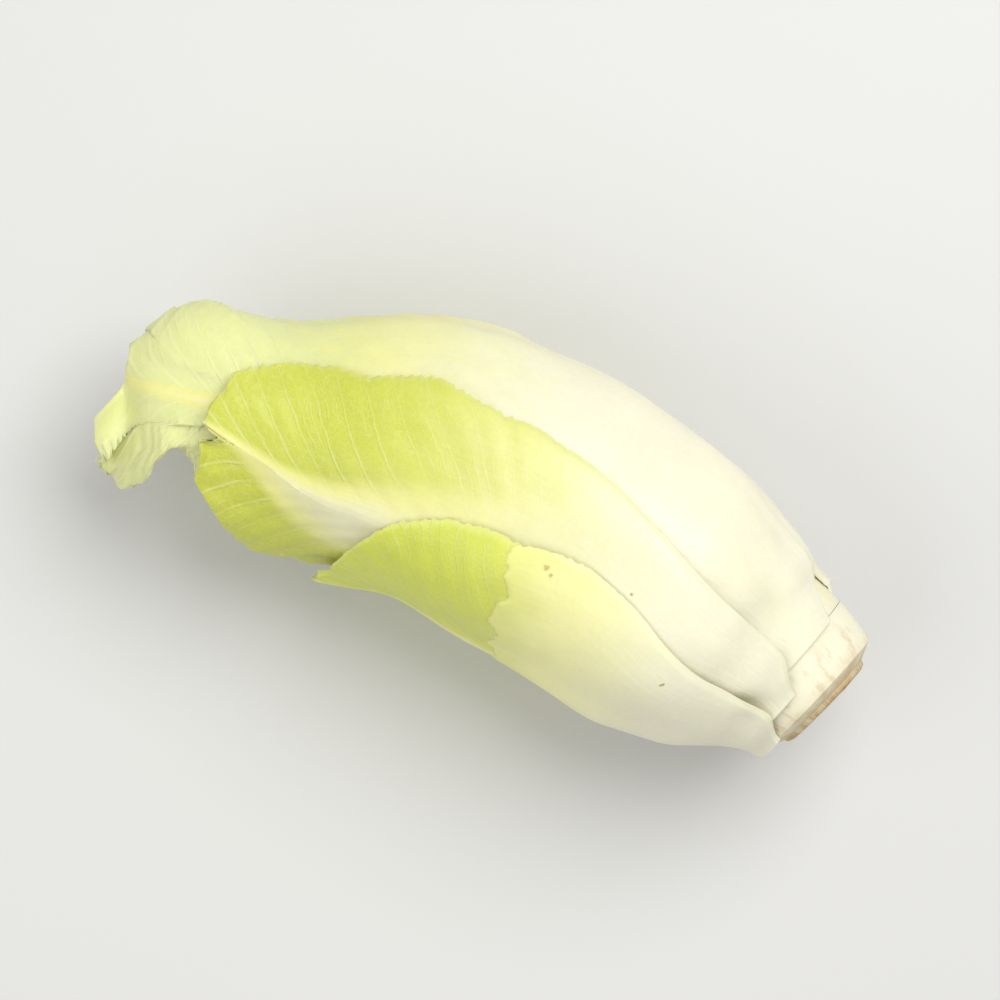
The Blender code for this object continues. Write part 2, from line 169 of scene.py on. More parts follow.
OUTER_CELLS = (210, 96)  # of a leaf's mesh, along and across, on the leaves that show
INNER_CELLS = (80, 48)
TIP_CROWDING = 0.75
MARGIN_CROWDING = 0.45
MARGIN_THINNED = 0.0011  # how far in from the margin the blade starts to thin to its edge
VEIN_REACH = (0.030, 0.036)  # how far forward a side vein ends of where it leaves the rib, on its two sides
VEIN_SIDE = 0.020  # at this distance to the side of the rib
VEIN_START = 0.0004  # keeps a vein from running straight along the rib where it leaves it
VEIN_UNEVENNESS = 0.28  # of how far apart the veins are, as a share of it
SIDE_SWELL = {4: (0.0027, 0.52, 0.20)}  # how far a leaf's side swells out, where up it, and over what reach
SWELL_FROM = 0.35  # share of the half width where it begins to
SPREAD = {4: ((-0.0008, -0.0050, -0.0010), 0.95, 0.10)}  # how far a tip's corner moves, from which u and v
TEETH_FROM = 0.35  # share of its length from where a leaf has teeth
TEETH_GROW = 0.3  # and over what share they grow
CUT_DEPTH = 1.6  # of the uneven cut of a margin, as a share of its teeth's
SPREAD_IN_FULL = (0.98, 0.85)  # by which u and v it has moved in full
TEETH = {2: 1.5, 4: 2.2}  # how much deeper than the others' the teeth of a leaf are
COLLAR_CLOSING = 0.00033  # how far the collar reaches over the slot between it and the heart bud
# The torn line: how far from the tip it is, how that grows across the leaf and from where, and how ragged
TORN_LINE = (0.0345, 0.14, 0.030, 0.0017)
TORN_STEP = 0.00035  # how high the torn outer skin of the lowest leaf stands on the leaf under it

# Uneven waves, each as the lengths and the weights of its sines
TOOTH_WAVES = ((0.0031, 1), (0.0047, 0.7), (0.0083, 0.5))
CUT_WAVES = ((0.0190, 1), (0.0290, 0.8))
TIP_WAVES = ((0.0026, 1), (0.0041, 0.8), (0.0090, 1.2))
VEIN_WAVES = ((0.031, 1), (0.047, 0.8))
TORN_WAVES = ((0.0051, 1), (0.0027, 0.5), (0.0120, 2.4), (0.0013, 0.25))
BUMPS_ALONG = ((0.0130, 1), (0.0079, 0.7))
BUMPS_ACROSS = ((0.0110, 1), (0.0071, 0.6))

STEM_SIDES = 96  # points round the stem and round the heart bud
HEART_SIDES = 72
CUT_DISH = 0.00035  # how deep the middle of the stem's cut lies
CUT_WAVINESS = 0.00012
KNIFE_GROOVE = 0.00008
KNIFE_STEP = 0.0016
BUD_CREASE = 0.00045  # how deep the folds of the heart bud are
FARTHEST_TIP = 0.985  # share of the heart's outline that no leaf reaches past

LEAST_WIDTH = 0.0004
TORN_EDGE = 0.0007  # over what distance the torn skin thins out
PATTERN_STEP = 7.3  # between the patterns of one leaf and the next
LEAF_SHARP = radians(60)  # an edge bent by more than this stays sharp
STEM_SHARP = radians(35)

# Small brown dots on the lowest leaf, in millimetres: from its tip, from its rib, and how wide
BRUISE_DOTS = ((40.0, -33.0, 0.75), (41.3, -32.2, 0.5))

KEY_LIGHT = (0.55, (0.10, 0.34, 0.62))  # how wide the lamp is, and its place from the middle of the head
FILL_LIGHT = (0.60, (-0.30, -0.35, 0.50))
ROOM_COLOUR = (1.0, 0.99, 0.97, 1)
TABLE_HALF = 1.5
SENSOR_WIDTH = 36  # of the camera, in millimetres

# Tears and lobes of each leaf's tip: distance to the side of the rib, how far the margin moves towards the
# tip there, and over what distance to each side. A negative move is a tear.
TIP_TEARS = {
    0: (
        (-0.0026, 0.0016, 0.0022),
        (0.0018, 0.0024, 0.0024),
        (-0.0065, -0.001, 0.0016),
        (0.0075, 0.001, 0.0025),
    ),
    1: ((0.004, -0.0020, 0.0012), (-0.007, 0.0012, 0.0030)),
    2: (
        (0.001, -0.0046, 0.0012),
        (0.009, 0.0022, 0.0045),
        (-0.006, -0.0008, 0.0022),
        (-0.010, 0.0009, 0.0018),
    ),
    3: ((-0.003, -0.0016, 0.0014), (0.006, 0.0012, 0.0030)),
    4: (
        (0.0035, -0.0018, 0.001),
        (-0.0045, -0.0022, 0.0011),
        (-0.015, -0.006, 0.0115),
        (0.0066, -0.0012, 0.0018),
    ),
    5: ((0.002, -0.0014, 0.0011), (-0.006, 0.0012, 0.0020)),
    6: ((-0.003, -0.0020, 0.0010), (0.005, 0.0010, 0.0020)),
}


def between(ends, share):
    return ends[0] + (ends[1] - ends[0]) * share


def smooth(x):
    """Rises from 0 to 1 as x does, with level ends."""
    x = np.clip(x, 0, 1)
    return x * x * (3 - 2 * x)


def rise(x, start, end):
    """Rises from 0 at the start to 1 at the end, with level ends."""
    return smooth((x - start) / (end - start))


def hump(x, place, reach):
    """Is 1 at a place and falls off to both sides within a few times its reach."""
    return np.exp(-(((x - place) / reach) ** 2))


# ---- The heart's outline, and places on and off it ----


def heart_outline(samples):
    """Distance up the axis, radius and the normal's two parts at even steps of it, and its length."""
    up = HEART_LENGTH * (1 - np.cos(np.linspace(0, np.pi, 2001))) / 2
    share = np.minimum((up + TRIMMED_OFF) / (HEART_LENGTH + TRIMMED_OFF), 1)
    peak = BASE_FULLNESS / (BASE_FULLNESS + TIP_FULLNESS)

    def swell(x):
        return x**BASE_FULLNESS * (1 - x) ** TIP_FULLNESS

    lost, start, full = TIP_SLIMMED
    slimmed = 1 - lost * rise(share, start, full)
    radius = HEART_RADIUS * swell(share) / swell(peak) * slimmed
    length = np.concatenate([[0], np.cumsum(np.hypot(np.diff(up), np.diff(radius)))])
    even = np.linspace(0, length[-1], samples)
    s = np.interp(even, length, up)
    r = np.interp(even, length, radius)
    ds, dr = np.gradient(s), np.gradient(r)
    norm = np.hypot(ds, dr)
    return s, r, -dr / norm, ds / norm, length[-1]


OUTLINE_S, OUTLINE_R, NORMAL_S, NORMAL_R, OUTLINE_LENGTH = heart_outline(PILE_ROWS)
PILE_P = np.linspace(0, 1, PILE_ROWS)
PILE_STEP = 2 * np.pi / PILE_COLUMNS
PILE_PHI = np.arange(PILE_COLUMNS) * PILE_STEP


def lying(s, side, up):
    """Where a point of the straight head is as it lies: s up the axis, and to the side and up from it."""
    turn = (s - HEART_LENGTH / 2) / BEND_RADIUS
    side = side - SWAY * hump(s, SWAY_AT, SWAY_REACH)
    x = -(BEND_RADIUS + side) * np.sin(turn)
    y = (BEND_RADIUS + side) * np.cos(turn) - BEND_RADIUS
    cos, sin = np.cos(AXIS_DROOP), np.sin(AXIS_DROOP)
    return np.stack([x * cos - up * sin, y, x * sin + up * cos], -1)


def head_point(p, phi, off):
    """The point off the heart by off, at share p of its outline and azimuth phi, as the head lies."""
    s = np.interp(p, PILE_P, OUTLINE_S) + off * np.interp(p, PILE_P, NORMAL_S)
    r = np.interp(p, PILE_P, OUTLINE_R) + off * np.interp(p, PILE_P, NORMAL_R)
    return lying(s, r * np.cos(phi), r * np.sin(phi))


# ---- The pile of leaves ----


def read_map(pile, p, phi):
    """A map's value at p and phi, read between its rows and columns."""
    row = np.clip(p, 0, 1) * (PILE_ROWS - 1)
    column = (phi / PILE_STEP) % PILE_COLUMNS
    i = np.minimum(row.astype(int), PILE_ROWS - 2)
    j = column.astype(int) % PILE_COLUMNS
    k = (j + 1) % PILE_COLUMNS
    a, b = row - i, column - np.floor(column)
    low = pile[i, j] * (1 - b) + pile[i, k] * b
    high = pile[i + 1, j] * (1 - b) + pile[i + 1, k] * b
    return low * (1 - a) + high * a


def draped(pile, round_it, along_it):
    """The bed that a leaf makes over the pile: never under it, and each step is spread out."""
    radius = np.maximum(OUTLINE_R + pile.mean(1) * NORMAL_R, 0.002)[:, None]
    turns = range(-PILE_COLUMNS // 2, PILE_COLUMNS // 2)
    near = {t: np.maximum(1 - abs(t) * PILE_STEP * radius / round_it, 0) for t in turns}
    rows = round(along_it / OUTLINE_LENGTH * (PILE_ROWS - 1))
    window = range(2 * rows + 1)

    def shifted(field):
        padded = np.pad(field, ((rows, rows), (0, 0)), mode="edge")
        return [padded[t : t + PILE_ROWS] for t in window]

    bed = np.max([np.where(near[t] > 0, np.roll(pile, t, 1), 0) for t in turns], 0)
    bed = np.max(shifted(bed), 0)
    bed = sum(np.roll(bed, t, 1) * near[t] for t in turns) / sum(near.values())
    share = [rows + 1 - abs(t - rows) for t in window]
    return sum(field * w for field, w in zip(shifted(bed), share)) / sum(share)


class Leaf:
    """A leaf by its place in the spiral, 0 the outermost. u runs from root to tip and v across, -1 to 1."""

    def __init__(self, index):
        self.index = index
        self.root = FIRST_ROOT + ROOT_STEP * index
        self.phase = LEAF_PHASE * index
        last = len(OUTER_LEAVES) - 1
        if index <= last:
            row = OUTER_LEAVES[index]
        else:
            inward = (index - last - 1) / (LEAF_COUNT - last - 2)
            azimuth = OUTER_LEAVES[last][0] + DIVERGENCE * (index - last)
            half_width = between(INNER_HALF_WIDTH, inward)
            size = between(INNER_TIPS, inward), (half_width,) * 2, (INNER_BLUNTNESS,) * 2
            row = (azimuth, 0, *size, 0, NOT_OFF, 1)
        self.azimuth, self.lean, self.tip, self.half_widths, *shape = row
        self.bluntness, self.flare, self.stand_off, self.left = shape

    def outline(self, u, v):
        """Half the leaf's width at u, on the side of v, in metres."""
        broadening = between((ROOT_WIDTH, 1), np.sin(np.pi / 2 * np.minimum(u / WIDEST_AT, 1)))
        corner = between((ROOT_CORNER[0], 1), smooth(u / ROOT_CORNER[1]))
        fall = np.clip((u - WIDEST_AT) / (1 - WIDEST_AT), 0, 1)
        bluntness = np.where(v > 0, self.bluntness[1], self.bluntness[0])
        shape = corner * broadening * np.maximum((1 - fall**bluntness) ** TIP_ROUNDNESS, TIP_WIDTH)
        wave = np.sin(MARGIN_WAVE_TURN * u + self.phase + SIDE_PHASE * np.sign(v)) * smooth(2.5 * u)
        waist = between((1, self.left), hump(u, WAIST_AT, WAIST_REACH))
        half_width = np.where(v > 0, self.half_widths[1] * waist, self.half_widths[0])
        return half_width * shape * (1 + MARGIN_WAVE * wave)

    def half_angle(self, u, v, bed_radius):
        radius = np.interp(between((self.root, self.tip), u), PILE_P, bed_radius)
        return np.minimum(self.outline(u, v) / radius, WIDEST_ANGLE)

    def centre(self, u):
        """The azimuth of the leaf's rib."""
        start = LEAN_STARTS.get(self.index, LEAN_FROM)
        return self.azimuth + self.lean * rise(u, start, 1)

    def thickness(self, u, v):
        width = self.outline(u, v)
        blade = between(BLADE_THICKNESS, smooth(u / BLADE_THIN_FROM))
        body = between((blade, EDGE_THICKNESS), np.abs(v) ** 3)
        rib_width = np.minimum(between(RIB_HALF_WIDTH, smooth(u)), RIB_SHARE * width)
        rib = between(RIB_THICKNESS, u) * hump(v * width, 0, rib_width)
        root = between(ROOT_THINNED, smooth(u / ROOT_FULL_FROM))
        return np.maximum(root * (body + rib), EDGE_THICKNESS)

    def lift(self, u, v):
        """How far it stands off its bed: its tip flares a little, and its margin ruffles near the tip."""
        flare = self.flare * rise(u, FLARE_FROM, 1) ** 2
        wave = 0.5 + 0.5 * np.sin(RUFFLE_TURN * u + self.phase + SIDE_PHASE * np.sign(v))
        ruffle = RUFFLE * wave * rise(u, RUFFLE_FROM, 2 * RUFFLE_FROM) * np.abs(v) ** 3
        off, start, full = self.stand_off
        stands = rise(u, start, full) * rise(v, STANDS_FROM, 1)
        return flare + ruffle + off * stands


def snugness(u, v):
    """How far the blade has bent down from its stiff bed to what is right under it."""
    stiff = smooth((1 - np.abs(v)) / (1 - SNUG_FROM)) * smooth(u / SNUG_ROOT)
    return 1 - stiff


def lay_leaves():
    """Lays the leaves on the heart from the innermost outwards. Gives each leaf's bed and the pile on top."""
    pile = np.zeros((PILE_ROWS, PILE_COLUMNS))
    beds = {}
    p = PILE_P[:, None]
    for index in reversed(range(LEAF_COUNT)):
        leaf = Leaf(index)
        gap = between(GAP, smooth((p - GAP_GROWS[0]) / GAP_GROWS[1]))
        bed = draped(pile, DRAPE_ROUND, DRAPE_ALONG) + gap
        snug = draped(pile, SNUG_ROUND, SNUG_ALONG) + gap
        bed_radius = np.maximum(OUTLINE_R + bed.mean(1) * NORMAL_R, 0.0015)
        beds[index] = (bed, snug, bed_radius)
        along = (p - leaf.root) / (leaf.tip - leaf.root)
        u = np.clip(along, 0, 1)
        turn = (PILE_PHI - leaf.centre(u) + np.pi) % (2 * np.pi) - np.pi
        across = turn / leaf.half_angle(u, turn, bed_radius)
        v = np.clip(across, -1, 1)
        covered = (along == u) & (across == v)
        top = between((bed, snug), snugness(u, v)) + leaf.lift(u, v) + leaf.thickness(u, v)
        pile = np.where(covered, np.maximum(pile, top), pile)
    return beds, pile


def belly_press(pile):
    """How far each place is pushed in where the belly is pressed flat, and the height of that flat."""
    p, phi = np.meshgrid(PILE_P, PILE_PHI, indexing="ij")
    top = head_point(p, phi, pile)
    outward = head_point(p, phi, pile + 1) - top
    floor = top[..., 2].min() + FLAT_DEPTH
    under = np.maximum(floor - top[..., 2], 0)
    return under / np.maximum(-outward[..., 2], 0.2), floor


BEDS, PILE = lay_leaves()
PRESS, TABLE_HEIGHT = belly_press(PILE)


def outline_radius(s):
    return np.interp(s, OUTLINE_S, OUTLINE_R)


def cone_radius(s):
    """The stem's radius inside the heart bud."""
    share = (s - STEM_CONE_FROM) / (STEM_CONE_LENGTH - STEM_CONE_FROM)
    return STEM_RADIUS * between((1, STEM_CONE_TIP), np.clip(share, 0, 1) ** 1.3)


def stem_profile(collar, cone):
    """Places up the axis and radii of the stem, from its bevelled cut to the cone's end inside the heart."""
    profile = [
        (-STEM_PROUD, STEM_RADIUS - STEM_BEVEL),
        (-STEM_PROUD + 0.3 * STEM_BEVEL, STEM_RADIUS - 0.3 * STEM_BEVEL),
        (-STEM_PROUD + STEM_BEVEL, STEM_RADIUS),
    ]
    profile += [(s, outline_radius(s)) for s in np.linspace(STEM_COLLAR_FROM, STEM_CONE_FROM, collar)]
    profile += [(s, cone_radius(s)) for s in np.linspace(STEM_CONE_FROM, STEM_CONE_LENGTH, cone)]
    return profile


def place_of_head():
    """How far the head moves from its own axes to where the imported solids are."""
    phi = np.arange(36) * np.pi / 18
    rings = [lying(s, r * np.cos(phi), r * np.sin(phi)) for s, r in stem_profile(5, 7)]
    points = np.array(rings).reshape(-1, 3)
    low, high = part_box("stem_core")
    return (np.array(low) + np.array(high) - points.min(0) - points.max(0)) / 2


HEAD_PLACE = place_of_head()


# ---- Meshes ----


def spaced(cells, crowd):
    """Shares from 0 to 1 for a row of cells, crowded towards both ends by crowd from 0 to 1."""
    t = np.linspace(0, 1, cells + 1)
    return between((t, (1 - np.cos(np.pi * t)) / 2), crowd)


def crowded_to_end(cells, crowd):
    """Shares from 0 to 1 for a row of cells, crowded towards the end at 1."""
    t = np.linspace(0, 1, cells + 1)
    return between((t, np.sin(np.pi / 2 * t)), crowd)


def new_piece(name, node, points, faces, finish, values, sharp):
    """Puts a mesh in the scene in place of a node of the head, with named values at each of its points."""
    mesh = bpy.data.meshes.new(name)
    mesh.from_pydata((points + HEAD_PLACE).tolist(), [], faces)
    for key, field in values.items():
        stored = mesh.attributes.new(key, "FLOAT", "POINT")
        stored.data.foreach_set("value", np.ascontiguousarray(field, np.float32).ravel())
    mesh.shade_smooth()
    mesh.set_sharp_from_angle(angle=sharp)
    mesh.materials.append(finish)
    made = placed(name, mesh)
    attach(made, "root")
    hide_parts(node)


def shell_faces(rows, columns):
    """Faces of a closed shell between two grids of points, four-sided on both and round the rim."""
    index = np.arange(rows * columns).reshape(rows, columns)
    lift = rows * columns
    a, b, c, d = (part.ravel() for part in (index[:-1, :-1], index[1:, :-1], index[1:, 1:], index[:-1, 1:]))
    face = np.stack([a, b, c, d], 1)
    rim = np.concatenate([index[0, :], index[1:, -1], index[-1, -2::-1], index[-2:0:-1, 0]])
    far = np.roll(rim, -1)
    side = np.stack([rim + lift, far + lift, far, rim], 1)
    return np.concatenate([face[:, ::-1], face + lift, side]).tolist()


def turned_piece(name, node, rings, phi, finish, values, sharp):
    """A closed body through rings, each as how far its points at azimuths phi are up the axis and from it."""
    points = np.array([lying(s + 0 * phi, r * np.cos(phi), r * np.sin(phi)) for s, r in rings])
    index = np.arange(points.size // 3).reshape(-1, phi.size)
    after = np.roll(index, -1, axis=1)
    a, b, c, d = index[:-1].ravel(), index[1:].ravel(), after[1:].ravel(), after[:-1].ravel()
    faces = np.stack([a, b, c, d], 1).tolist() + [index[0].tolist(), index[-1, ::-1].tolist()]
    new_piece(name, node, points.reshape(-1, 3), faces, finish, values, sharp)


def waver(x, phase, steps):
    """An uneven wave between -1 and 1 along x: a few sines whose lengths share no beat."""
    waves = [w * np.sin(2 * np.pi * x / length + phase * (k + 1.7)) for k, (length, w) in enumerate(steps)]
    return sum(waves) / sum(weight for _, weight in steps)


def margin_teeth(leaf, u, v, depth):
    """How far the margin stands out by its fine teeth and its uneven cut, in metres."""
    along = u * (leaf.tip - leaf.root) * OUTLINE_LENGTH
    side = leaf.phase + 2.3 * np.sign(v)
    teeth = 1 - 2 * np.abs(waver(along, side, TOOTH_WAVES))
    cut = waver(along, side + 1, CUT_WAVES)
    return smooth((u - TEETH_FROM) / TEETH_GROW) * (depth * teeth + CUT_DEPTH * depth * cut)


def tip_move(leaf, side, shape):
    """How far the margin at the tip moves towards the tip, by distance to the side of the rib."""
    depth = TEETH.get(leaf.index, 1) * shape.tooth_depth
    moved = 0.5 * depth * waver(side, leaf.phase, TIP_WAVES)
    for place, move, reach in TIP_TEARS.get(leaf.index, ()):
        moved = moved + move * np.maximum(1 - np.abs(side - place) / reach, 0) ** 1.2
    return moved


def vein_number(leaf, along, side, spacing):
    """Which side vein is near: whole on a vein. Also how far apart veins are there, in metres."""
    reach = np.sqrt((np.abs(side) + VEIN_START) / VEIN_SIDE)
    farthest = np.where(side > 0, VEIN_REACH[1], VEIN_REACH[0])
    forward = farthest * reach
    slope = farthest / (2 * VEIN_SIDE * reach)
    uneven = VEIN_UNEVENNESS * waver(along, leaf.phase + np.sign(side), VEIN_WAVES)
    number = (along - forward) / spacing + 0.5 * (side > 0) + uneven
    return number, spacing / np.hypot(1, slope)


def side_swell(index, u, v):
    """How far a leaf's side of the smaller azimuths stands out in one long swell, over the next leaf."""
    if index not in SIDE_SWELL:
        return 0
    far, place, reach = SIDE_SWELL[index]
    return far * hump(u, place, reach) * rise(-v, SWELL_FROM, 1)


def spread_corner(index, u, v):
    """How far each point of a leaf's tip moves with the corner that spreads out."""
    if index not in SPREAD:
        return 0
    move, from_u, from_v = SPREAD[index]
    share = rise(u, from_u, SPREAD_IN_FULL[0]) * rise(v, from_v, SPREAD_IN_FULL[1])
    return share[..., None] * np.array(move)


def torn_line(side):
    """How far from the tip the torn skin of the lowest leaf ends, by distance to the side of the rib."""
    ragged = waver(side, 0.6, TORN_WAVES)
    far_side, slant, from_side, depth = TORN_LINE
    return far_side + slant * (side + from_side) + depth * ragged


def leaf_piece(index, cells, shape, veins, finish):
    """A leaf: a thin blade over its bed, with its teeth, tears, rib, puckers and thin margin."""
    leaf = Leaf(index)
    bed, snug, bed_radius = BEDS[index]
    u, v = np.meshgrid(
        crowded_to_end(cells[0], TIP_CROWDING), 2 * spaced(cells[1], MARGIN_CROWDING) - 1, indexing="ij"
    )
    length = (leaf.tip - leaf.root) * OUTLINE_LENGTH
    radius = np.interp(between((leaf.root, leaf.tip), u), PILE_P, bed_radius)
    teeth = margin_teeth(leaf, u, v, shape.tooth_depth * TEETH.get(index, 1))
    width = np.minimum(leaf.outline(u, v) + teeth, WIDEST_ANGLE * radius)
    width = np.maximum(width, LEAST_WIDTH)
    side = v * width
    moved = tip_move(leaf, side, shape) * smooth((u - 0.6) / 0.4)
    p = np.minimum(between((leaf.root, leaf.tip), u) + moved / OUTLINE_LENGTH, FARTHEST_TIP)
    phi = leaf.centre(u) + side / radius
    along = (p - leaf.root) * OUTLINE_LENGTH
    from_tip = length - along
    number, apart = vein_number(leaf, along, side, veins.spacing)

    from_side = width * (1 - np.abs(v))
    from_end = (1 - u) * length + 0.3 * np.abs(side)
    from_margin = np.minimum(from_side, from_end)
    edge = 1 - smooth(from_margin / MARGIN_THINNED)
    greening = smooth(u / 0.5 - 0.5)
    hollow = np.cos(2 * np.pi * number) * smooth(np.abs(side) / 0.006) * greening * (1 - edge)
    bumpy = waver(along, leaf.phase, BUMPS_ALONG) * waver(side, leaf.phase, BUMPS_ACROSS)
    relief = -shape.pucker * (0.5 * hollow + 0.5 * bumpy * greening * (1 - edge))
    thickness = leaf.thickness(u, v) + relief - edge * (EDGE_THICKNESS - shape.margin_thickness)

    torn = np.full_like(u, -1.0)
    if index == 0:
        torn = from_tip - torn_line(side)
        thickness = thickness + TORN_STEP * (smooth(torn / TORN_EDGE) - 1)
    thickness = np.maximum(thickness, 0.8 * shape.margin_thickness)

    pressed = read_map(PRESS, p, phi)
    under = between((read_map(bed, p, phi), read_map(snug, p, phi)), snugness(u, v))
    closed = shape.margin_closing * np.abs(v) ** 6 * GAP[0]
    off = under + leaf.lift(u, v) - closed - pressed + side_swell(index, u, v)
    spread = spread_corner(index, u, v)
    inner = head_point(p, phi, off) + spread
    outer = head_point(p, phi, off + thickness) + spread
    low = TABLE_HEIGHT + FLAT_SNAP
    outer[..., 2] = np.where(outer[..., 2] < low, TABLE_HEIGHT, outer[..., 2])
    inner[..., 2] = np.maximum(inner[..., 2], TABLE_HEIGHT)

    both = {
        "from_tip": from_tip / MM,
        "from_rib": side / MM,
        "from_margin": from_margin / MM,
        "across": v * np.ones_like(u),
        "vein": number,
        "vein_gap": apart / MM,
        "torn": torn / MM,
        "leaf": np.full_like(u, index * PATTERN_STEP),
    }
    points = np.concatenate([inner.reshape(-1, 3), outer.reshape(-1, 3)])
    values = {key: np.concatenate([field.ravel(), field.ravel()]) for key, field in both.items()}
    values["inside"] = np.repeat([1.0, 0.0], u.size)
    node = f"leaf_{index + 1:02d}"
    new_piece(f"endive_{node}", node, points, shell_faces(*u.shape), finish, values, LEAF_SHARP)


def stem_piece(finish):
    """The stem: the butt with the marks of the knife across its cut, its bevel, collar and cone."""
    phi = np.arange(STEM_SIDES) * 2 * np.pi / STEM_SIDES
    rings, share = [], []
    for part in np.linspace(0.01, 1, 15)[:-1]:
        radius = part * (STEM_RADIUS - STEM_BEVEL)
        dish = CUT_DISH * (1 - part**2) + CUT_WAVINESS * np.sin(9 * part + 3 * phi) * part
        grooves = KNIFE_GROOVE * np.sin(2 * np.pi * radius * np.cos(phi - 0.6) / KNIFE_STEP)
        rings.append((-STEM_PROUD + dish + grooves, radius))
        share.append(part)
    for s, radius in stem_profile(10, 12):
        if s == STEM_CONE_FROM and radius > STEM_RADIUS:
            s += COLLAR_CLOSING
        rings.append((s, radius * (1 + 0.012 * np.sin(5 * phi + 60 * s) * smooth((s + 0.0005) / 0.002))))
        share.append(1 + (s + STEM_PROUD) / STEM_RADIUS)
    place = np.repeat(np.array(share)[:, None], STEM_SIDES, 1)
    values = {
        "from_middle": place,
        "cut_x": np.minimum(place, 1) * np.cos(phi),
        "cut_y": np.minimum(place, 1) * np.sin(phi),
    }
    turned_piece("endive_stem", "stem_core", rings, phi, finish, values, STEM_SHARP)


def heart_piece(finish):
    """The heart bud, creased lengthways where its small leaves fold over each other."""
    phi = np.arange(HEART_SIDES) * 2 * np.pi / HEART_SIDES
    shoulder = STEM_CONE_FROM + SOCKET_GAP
    profile = [(STEM_CONE_LENGTH + SOCKET_GAP, cone_radius(STEM_CONE_LENGTH), 0)]
    profile += [(s, cone_radius(s) + SOCKET_GAP, 0) for s in np.linspace(STEM_CONE_LENGTH, shoulder, 9)]
    profile.append((shoulder, outline_radius(shoulder), 0))
    first = np.searchsorted(OUTLINE_S, shoulder) + 1
    profile += [(s, r, 1) for s, r in zip(OUTLINE_S[first:-1:2], OUTLINE_R[first:-1:2])]
    rings, share = [], []
    for s, radius, outside in profile:
        up = s / HEART_LENGTH
        fold = 1 - np.abs(np.sin(1.5 * phi + 2.6 * up)) ** 0.6
        p = np.full(HEART_SIDES, np.interp(s, OUTLINE_S, PILE_P))
        crease = outside * BUD_CREASE * fold * smooth(up / 0.3) + outside * read_map(PRESS, p, phi)
        rings.append((s, np.maximum(radius - crease, 0.0002)))
        share.append(np.full(HEART_SIDES, up))
    values = {"up": np.array(share)}
    turned_piece("endive_heart", "heart_bud", rings, phi, finish, values, LEAF_SHARP)


# ---- Node networks ----


def reckoned(operation, swapped=False):
    """A method of a value: adds a node for an operation on it and on the other, where it takes one."""

    def method(self, *other):
        return self.net.math(operation, *((*other, self) if swapped else (self, *other)))

    return method


class Value:
    """What a node's socket gives, a number or a colour, to be reckoned with by adding more nodes."""

    def __init__(self, net, socket):
        self.net = net
        self.socket = socket

    __add__ = reckoned("ADD")
    __sub__ = reckoned("SUBTRACT")
    __rsub__ = reckoned("SUBTRACT", swapped=True)
    __mul__ = reckoned("MULTIPLY")
    __truediv__ = reckoned("DIVIDE")
    __rtruediv__ = reckoned("DIVIDE", swapped=True)
    __pow__ = reckoned("POWER")
    __abs__ = reckoned("ABSOLUTE")
    larger = reckoned("MAXIMUM")

    def ramp(self, start, end, low=0.0, high=1.0):
        """Goes smoothly from low to high as the value goes from start to end."""
        ends = enumerate((self, start, end, low, high))
        return self.net.value("ShaderNodeMapRange", 0, ends, interpolation_type="SMOOTHSTEP")

    def fall(self, start, end):
        """Goes smoothly from 1 to 0 as the value goes from start to end."""
        return self.ramp(start, end, 1.0, 0.0)


class Network:
    """A material's or a group's nodes, laid out from left to right as they are added."""

    def __init__(self, tree):
        self.tree = tree
        self.count = 0

    def add(self, kind, inputs=(), **settings):
        node = self.tree.nodes.new(kind)
        node.location = (180 * (self.count % 14) - 2400, -240 * (self.count // 14))
        self.count += 1
        for key, value in settings.items():
            setattr(node, key, value)
        for key, value in dict(inputs).items():
            self.feed(node.inputs[key], value)
        return node

    def feed(self, socket, value):
        if isinstance(value, Value):
            self.tree.links.new(value.socket, socket)
        else:
            socket.default_value = value

    def outputs(self, node):
        """All that a node gives, by the names of its sockets."""
        return {name: Value(self, socket) for name, socket in node.outputs.items()}

    def value(self, kind, output, inputs=(), **settings):
        """Adds a node and gives one of its outputs."""
        return Value(self, self.add(kind, inputs, **settings).outputs[output])

    def at_point(self, name):
        """A value that the mesh holds at each point."""
        return self.value("ShaderNodeAttribute", "Fac", attribute_name=name)

    def math(self, operation, *values):
        return self.value("ShaderNodeMath", 0, enumerate(values), operation=operation)

    def vector(self, *parts):
        return self.value("ShaderNodeCombineXYZ", 0, enumerate(parts))

    def noise(self, place, scale, detail=2.0, rough=0.5):
        inputs = {"Vector": place, "Scale": scale, "Detail": detail, "Roughness": rough}
        return self.value("ShaderNodeTexNoise", "Fac", inputs)

    def cells(self, place, scale, feature="F1"):
        inputs = {"Vector": place, "Scale": scale}
        return self.outputs(self.add("ShaderNodeTexVoronoi", inputs, feature=feature))

    def blend(self, share, first, second, kind="MIX"):
        inputs = {0: share, 6: first, 7: second}
        return self.value("ShaderNodeMix", 2, inputs, data_type="RGBA", blend_type=kind)

    def group(self, tree, **values):
        """Adds a group, with values for its inputs by their labels. Gives its outputs by theirs."""
        inputs = {key.replace("_", " ").capitalize(): value for key, value in values.items()}
        return self.outputs(self.add("ShaderNodeGroup", inputs, node_tree=tree))


def effect(name, nodes, inputs, outputs):
    """A node group by its name, made the first time. A socket whose label ends in colour holds a colour."""
    if name in bpy.data.node_groups:
        return bpy.data.node_groups[name]
    tree = bpy.data.node_groups.new(name, "ShaderNodeTree")

    def socket(label, side):
        kind = "NodeSocketColor" if label.lower().endswith("colour") else "NodeSocketFloat"
        return tree.interface.new_socket(label, in_out=side, socket_type=kind)

    for label, default in inputs.items():
        socket(label, "INPUT").default_value = default
    for label in outputs:
        socket(label, "OUTPUT")
    net = Network(tree)
    results = nodes(net, net.outputs(net.add("NodeGroupInput")))
    net.add("NodeGroupOutput", zip(outputs, results))
    return tree


